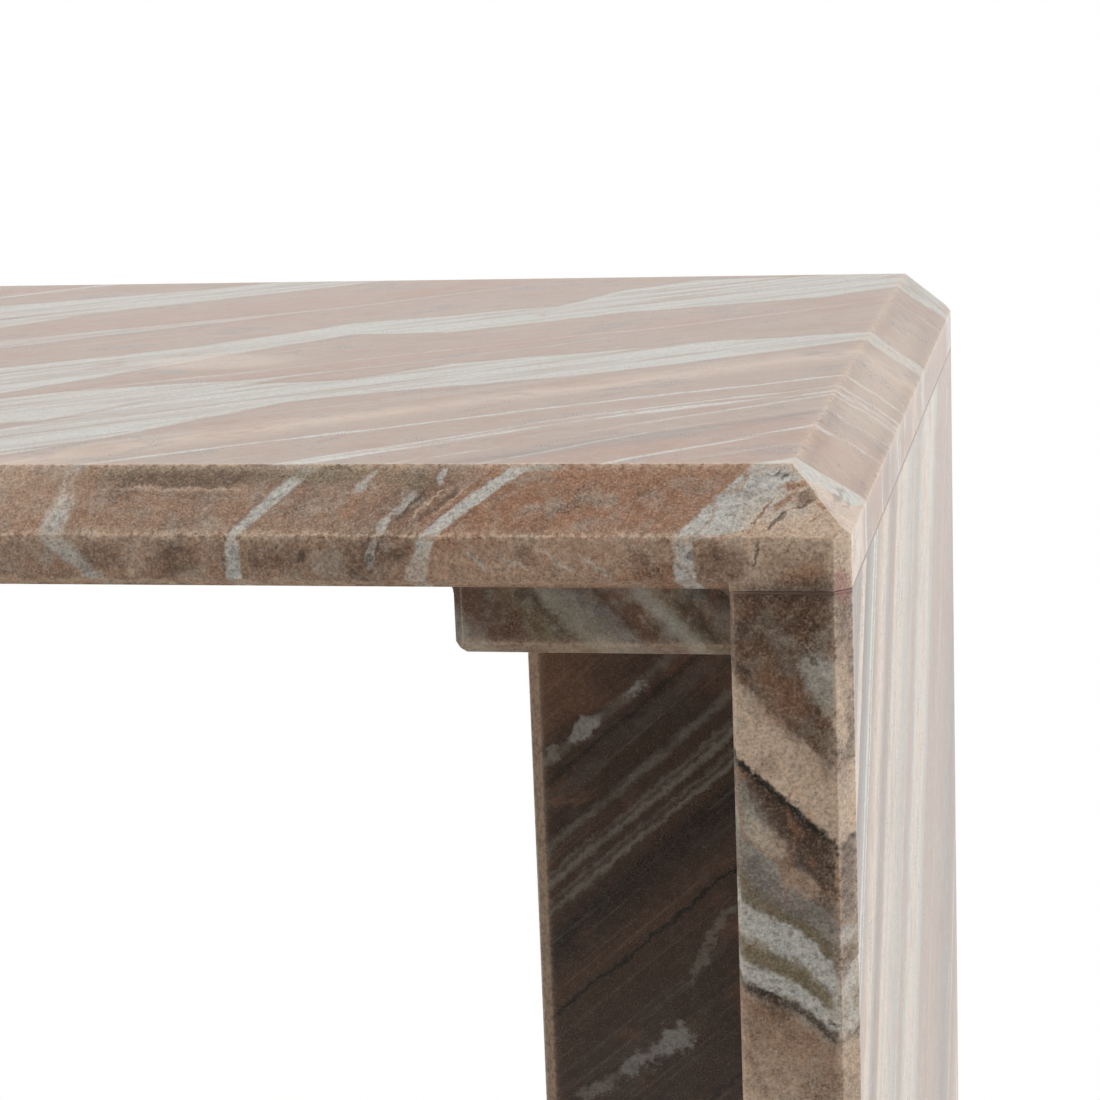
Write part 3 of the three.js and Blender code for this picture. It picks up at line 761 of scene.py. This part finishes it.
CLEAT_BLOCK = dict(
    across=(0.74, 0, 0.67), along=(0, 1, 0), wander=2.5, ripple=2, drift=1, rim=0.7,
    fine=0.1, dusty=0.4, grain=0.6, worn_and_highlit=0.5, ragged=1.4, fray=2, feather=8, rusty=0.4, shady=0.5,
    pale=0.3,
    tones=[
        (80, BODY), (110, UMBER), (132, SAGE), (150, UMBER), (168, SAGE), (190, UMBER), (240, BODY),
        (436, UMBER), (443, SAGE), (447.5, UMBER), (457, UMBER), (462, OLIVE), (464, SOIL), (467, OLIVE),
        (475, SLATE), (478.5, UMBER), (484, UMBER), (487.2, SAGE), (490, OLIVE), (492.5, SOIL),
        (494, OLIVE), (497, SLATE), (500, SOIL), (520, UMBER)],
    veins=[
        (467.8, 1, 2.6, SAGE, 0.6), (471.4, 1, 1.6, SAGE, 0.4), (487.3, 0.8, 2.4, SAGE, 0.7)],
    cracks=[(478, 0.4, SOIL, 0.5)],
    face=-192.5, patches=CLEAT_PATCHES)


# Faces of each stone piece, as an outward direction and its reach from the origin

DIAGONAL = math.sqrt(0.5)


def box_planes(low, high):
    return [((1, 0, 0), high.x), ((-1, 0, 0), -low.x), ((0, 1, 0), high.y),
            ((0, -1, 0), -low.y), ((0, 0, 1), high.z), ((0, 0, -1), -low.z)]


def bevel_plane(x, y, z, reaches, cut):
    """A 45 degree cut between two faces. x, y and z are -1, 0 or 1."""
    total = sum(reach for sign, reach in zip((x, y, z), reaches) if sign)
    return (x * DIAGONAL, y * DIAGONAL, z * DIAGONAL), (total - cut) * DIAGONAL


def corner_rims(low, high, cut):
    """The four upright corner bevels of a piece that stands square to the axes."""
    return [bevel_plane(x, y, 0, (high.x if x > 0 else -low.x, high.y if y > 0 else -low.y, 0), cut)
            for x in (-1, 1) for y in (-1, 1)]


def top_planes():
    reaches = (slab_high.x, slab_high.y, slab_high.z)
    planes = box_planes(slab_low, slab_high)
    for sign in (-1, 1):
        planes.append(bevel_plane(sign, 0, 1, reaches, TOP_BEVEL))
        planes.append(bevel_plane(0, sign, 1, reaches, TOP_BEVEL))
    return planes + side_rims()


def side_rims():
    """Both side slabs' outer corners. They stand as far out as the top's."""
    return corner_rims(slab_low, slab_high, CORNER_BEVEL)


def fin_rims():
    """The free edges of both fins."""
    reaches = (-fin_low.x, fin_high.y, 0)
    return [bevel_plane(x, y, 0, reaches, FIN_BEVEL) for x in (-1, 1) for y in (-1, 1)]


def cleat_rims():
    """The long lower edges and the inner ends of the cleats."""
    reaches = (-cleat_low.x, -cleat_low.y, -cleat_low.z)
    rims = [bevel_plane(0, y, -1, reaches, CLEAT_ARRIS) for y in (-1, 1)]
    return rims + [bevel_plane(x, 0, -1, reaches, CLEAT_ARRIS) for x in (-1, 1)]


def joint_colours(sheet, point, colour):
    """Stone darkened along the glued joint, with rose resin at its front corner."""
    height = sheet.dot(point, Z) - slab_low.z * PER_MM
    inward = sheet.dot(point, X) - side_low.x * PER_MM
    cloudy = sheet.swing(point, 6, 1.6, 4)
    corner = sheet.smooth(inward, 30, 24)
    by_joint = sheet.smooth(abs(height - 0.2) + cloudy, 5.8, -0.6) * sheet.smooth(inward, -2, 8) * corner
    colour = sheet.mix(by_joint * 0.75, colour, paint(70, 48, 38))
    spot = Vector((slab_high.x - 2.5 * MM, slab_low.y + 2 * MM, slab_low.z + 1 * MM)) * PER_MM
    rose = sheet.blob(point, tuple(spot), 100, (5.6, 4.0, 2.6)) - cloudy * 0.06
    return sheet.mix(sheet.smooth(rose, 0.4, 0.75) * 0.6, colour, paint(134, 74, 70))


# Fittings

def resin_material():
    """Tinted epoxy, slightly see-through looking, with trapped stone dust."""
    fittings = bpy.context.scene.table_fittings
    material, sheet = new_material("tinted_resin")
    point = sheet.place_mm()
    cloud = sheet.noise(point, 9, 3, 0.6)
    pale_specks = sheet.smooth(sheet.noise(point, 0.5, 2), 0.56, 0.7)
    deep = tuple(0.8 * channel for channel in fittings.resin)
    colour = sheet.mix(sheet.smooth(cloud, 0.35, 0.7), deep, tuple(fittings.resin))
    colour = sheet.mix(pale_specks * 0.35, colour, paint(180, 156, 138))
    colour = joint_colours(sheet, point, colour)
    roughness = 0.3 + cloud * 0.2
    constants = {"IOR": 1.55, "Coat Weight": 0.2, "Coat Roughness": 0.2}
    return principled(sheet, material, colour, roughness, cloud * 0.8 + pale_specks * 0.2, 0.06, constants)


def steel_material():
    """Bar steel with turning lines round it and a little scale."""
    fittings = bpy.context.scene.table_fittings
    material, sheet = new_material("bar_steel")
    point = sheet.place_mm()
    lines = sheet.noise(sheet.vectors("MULTIPLY", point, (0.6, 0.6, 6.0)), 1.0, 2, 0.6)
    scale = sheet.smooth(sheet.noise(point, 5, 3, 0.6), 0.5, 0.75)
    colour = sheet.mix(lines * 0.35, tuple(fittings.steel), paint(128, 128, 130))
    colour = sheet.mix(scale * 0.25, colour, paint(96, 88, 82))
    roughness = 0.24 + lines * 0.18 + scale * 0.15
    return principled(sheet, material, colour, roughness, lines, 0.01, {"Metallic": 1.0})


def felt_material():
    """Pressed felt: a tangle of short fibres, lighter where they stand up."""
    fittings = bpy.context.scene.table_fittings
    material, sheet = new_material("pressed_felt")
    point = sheet.place_mm()
    fibres = sheet.noise(point, 0.5, 4, 0.7, 2.5)
    tufts = sheet.noise(point, 2.4, 3, 0.6)
    light = tuple(min(1.0, 1.7 * channel) for channel in fittings.felt)
    dark = tuple(0.5 * channel for channel in fittings.felt)
    colour = sheet.mix(sheet.smooth(fibres, 0.35, 0.7), dark, light)
    colour = sheet.mix(sheet.smooth(tufts, 0.4, 0.7) * 0.4, colour, tuple(fittings.felt))
    roughness = 0.9 + fibres * 0.1
    constants = {"Sheen Weight": 0.35, "Sheen Roughness": 0.5}
    return principled(sheet, material, colour, roughness, fibres, 0.25, constants)


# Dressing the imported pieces

WELD_REACH = 0.005 * MM
EASED_ANGLE = math.radians(30)
DONE = {"FINISHED"}


def dress(material, *endings, stone=False):
    """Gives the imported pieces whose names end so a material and, on stone, softly eased edges."""
    for name in sorted(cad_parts):
        if not name.endswith(endings):
            continue
        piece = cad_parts[name]
        piece.material_slots[0].link = "OBJECT"
        piece.material_slots[0].material = material
        if stone:
            weld = piece.modifiers.new("one_skin", "WELD")
            weld.merge_threshold = WELD_REACH
            bevel = piece.modifiers.new("eased_edges", "BEVEL")
            bevel.width = bpy.context.scene.table_stone.eased
            bevel.segments = 3
            bevel.limit_method = "ANGLE"
            bevel.angle_limit = EASED_ANGLE


class TABLE_OT_top(bpy.types.Operator):
    """Finish the bevelled top slab"""

    bl_idname = "table.top"
    bl_label = "Top slab"

    def execute(self, context):
        material = marble("marble_top", TOP_BLOCK, top_planes(), side_rims(), joint_colours)
        dress(material, "top_slab", stone=True)
        return DONE


class TABLE_OT_sides(bpy.types.Operator):
    """Finish the two side slabs"""

    bl_idname = "table.sides"
    bl_label = "Side slabs"

    def execute(self, context):
        planes = box_planes(side_low, side_high)[:4] + side_rims()
        material = marble("marble_side", SIDE_BLOCK, planes, side_rims(), joint_colours)
        dress(material, "side_slab", stone=True)
        return DONE


class TABLE_OT_fins(bpy.types.Operator):
    """Finish the two fins"""

    bl_idname = "table.fins"
    bl_label = "Fins"

    def execute(self, context):
        material = marble("marble_fin", FIN_BLOCK, box_planes(fin_low, fin_high), fin_rims())
        dress(material, "_fin", stone=True)
        return DONE


class TABLE_OT_cleats(bpy.types.Operator):
    """Finish the four cleats"""

    bl_idname = "table.cleats"
    bl_label = "Cleats"

    def execute(self, context):
        planes = box_planes(cleat_low, cleat_high)
        material = marble("marble_cleat", CLEAT_BLOCK, planes, cleat_rims())
        dress(material, "_cleat", stone=True)
        return DONE


class TABLE_OT_resin(bpy.types.Operator):
    """Finish the epoxy beds and fillets"""

    bl_idname = "table.resin"
    bl_label = "Resin"

    def execute(self, context):
        dress(resin_material(), "_bed", "_fillet")
        return DONE


class TABLE_OT_pins(bpy.types.Operator):
    """Finish the steel dowel pins"""

    bl_idname = "table.pins"
    bl_label = "Dowel pins"

    def execute(self, context):
        dress(steel_material(), "_pin")
        return DONE


class TABLE_OT_pads(bpy.types.Operator):
    """Finish the felt pads"""

    bl_idname = "table.pads"
    bl_label = "Floor pads"

    def execute(self, context):
        dress(felt_material(), "_pad")
        return DONE


# Stage. Softbox in metres, and how bright the surround shows in polished stone.

SOFTBOX_SIZE = (1.4, 1.0)
SOFTBOX_PLACE = (-0.3, -0.46, 2.2)
SHADOW_REACH, WHITE_FROM = 0.33, 0.6
MIRRORED_BEHIND, MIRRORED_FLOOR, MIRRORED_SIDES = 1.15, 1.8, 2.2


def join(thing):
    """Puts a new object in the scene."""
    bpy.context.scene.collection.objects.link(thing)


def floor_material(studio):
    """A pale floor that keeps the table's shadow and turns white away from it."""
    material, sheet = new_material("pale_floor")
    point = sheet.node("TexCoord", output=3)
    away = sheet.vectors("LENGTH", point, output=1)
    eye = sheet.node("LightPath")
    gloss = eye.beside(3)
    behind = sheet.smooth(sheet.dot(point, Y), -1.2, 0.2)
    beside = sheet.smooth(abs(sheet.dot(point, X)), 0.5, 1.4)
    seen = sheet.clamp(eye + gloss)
    pale = sheet.node("BsdfDiffuse", {}, {"Color": opaque(studio.floor)})
    bright = sheet.math("MAXIMUM", behind * MIRRORED_BEHIND, beside * MIRRORED_FLOOR)
    shown = sheet.scaled((1, 1, 1), sheet.math("MAXIMUM", eye, gloss * bright))
    white = sheet.node("Emission", {}, {"Color": shown, "Strength": 1.0})
    far = seen * sheet.smooth(away, SHADOW_REACH, WHITE_FROM)
    both = sheet.node("MixShader", {}, {0: far, 1: pale, 2: white})
    sheet.node("OutputMaterial", {}, {"Surface": both})
    return material


def lay_floor(studio):
    half = studio.floor_half
    mesh = bpy.data.meshes.new("studio_floor")
    corners = [(-half, -half, 0), (half, -half, 0), (half, half, 0), (-half, half, 0)]
    mesh.from_pydata(corners, [], [(0, 1, 2, 3)])
    mesh.materials.append(floor_material(studio))
    floor = bpy.data.objects.new("studio_floor", mesh)
    join(floor)


def light_world():
    """White to the eye. As light, bright at both sides, dim behind and nearly dark in front."""
    world = bpy.data.worlds.new("studio_world")
    world.use_nodes = True
    bpy.context.scene.world = world
    sheet = Sheet(world.node_tree)
    heading = sheet.node("TexCoord")
    back = sheet.smooth(sheet.dot(heading, Y), -0.5, -0.1)
    sides = sheet.smooth(abs(sheet.dot(heading, X)), 0.4, 1.0)
    above = sheet.smooth(sheet.dot(heading, Z), -0.1, 0.9)
    eye = sheet.node("LightPath")
    gloss = eye.beside(3)
    strength = sheet.math("MAXIMUM", back * 0.45 + sides * 2.3 - above * 0.2 + 0.07, 0.0)
    bright = sheet.math("MAXIMUM", back * MIRRORED_BEHIND, sides * MIRRORED_SIDES)
    seen = sheet.math("MAXIMUM", eye, gloss * bright)
    lit = sheet.node("Background", {}, {"Color": sheet.scaled((1, 1, 1), strength)})
    white = sheet.node("Background", {}, {"Color": sheet.scaled((1, 1, 1), seen)})
    both = sheet.node("MixShader", {}, {0: sheet.clamp(eye + gloss), 1: lit, 2: white})
    sheet.node("OutputWorld", {}, {"Surface": both})


def hang_softbox(studio):
    lamp = bpy.data.lights.new("overhead_softbox", "AREA")
    lamp.shape = "RECTANGLE"
    lamp.size, lamp.size_y = SOFTBOX_SIZE
    lamp.energy = studio.overhead
    softbox = bpy.data.objects.new("overhead_softbox", lamp)
    softbox.location = SOFTBOX_PLACE
    softbox.visible_glossy = False
    join(softbox)


def stand_camera(studio):
    data = bpy.data.cameras.new("camera")
    data.lens = studio.lens
    data.sensor_width = 36.0
    data.clip_start, data.clip_end = 0.02, 200.0
    azimuth, elevation, roll = studio.azimuth, studio.elevation, studio.roll
    back = Vector((math.sin(azimuth) * math.cos(elevation),
                   -math.cos(azimuth) * math.cos(elevation), math.sin(elevation)))
    level = Vector((math.cos(azimuth), math.sin(azimuth), 0))
    rise = back.cross(level)
    right = level * math.cos(roll) + rise * math.sin(roll)
    up = rise * math.cos(roll) - level * math.sin(roll)
    turn = Matrix((right, up, back)).transposed().to_4x4()
    camera = bpy.data.objects.new("camera", data)
    camera.matrix_world = Matrix.Translation(Vector(studio.place)) @ turn
    join(camera)
    bpy.context.scene.camera = camera


class TABLE_OT_stage(bpy.types.Operator):
    """Lay the floor, light the table and stand the camera"""

    bl_idname = "table.stage"
    bl_label = "Stage"

    def execute(self, context):
        studio = context.scene.table_studio
        lay_floor(studio)
        light_world()
        hang_softbox(studio)
        stand_camera(studio)
        context.scene.view_settings.view_transform = "Standard"
        return DONE


STEPS = (TABLE_OT_top, TABLE_OT_sides, TABLE_OT_fins, TABLE_OT_cleats, TABLE_OT_resin,
         TABLE_OT_pins, TABLE_OT_pads, TABLE_OT_stage)


class TABLE_PT_panel(bpy.types.Panel):
    """Sidebar panel with the table's settings and steps"""

    bl_idname = "TABLE_PT_panel"
    bl_label = "Marble table"
    bl_space_type = "VIEW_3D"
    bl_region_type = "UI"
    bl_category = "Table"

    def draw(self, context):
        scene = context.scene
        for settings in (scene.table_stone, scene.table_fittings, scene.table_studio):
            box = self.layout.box()
            for key in settings.__annotations__:
                box.prop(settings, key)
        for step in STEPS:
            self.layout.operator(step.bl_idname)


SETTINGS = {"table_stone": StoneSettings, "table_fittings": FittingSettings,
            "table_studio": StudioSettings}


def register():
    for cls in (*SETTINGS.values(), *STEPS, TABLE_PT_panel):
        bpy.utils.register_class(cls)
    for key, cls in SETTINGS.items():
        setattr(bpy.types.Scene, key, bpy.props.PointerProperty(type=cls))


def unregister():
    for key in SETTINGS:
        delattr(bpy.types.Scene, key)
    for cls in (TABLE_PT_panel, *reversed(STEPS), *reversed(SETTINGS.values())):
        bpy.utils.unregister_class(cls)


def main():
    register()
    bpy.ops.table.top()
    bpy.ops.table.sides()
    bpy.ops.table.fins()
    bpy.ops.table.cleats()
    bpy.ops.table.resin()
    bpy.ops.table.pins()
    bpy.ops.table.pads()
    bpy.ops.table.stage()


if __name__ == "__main__":
    main()
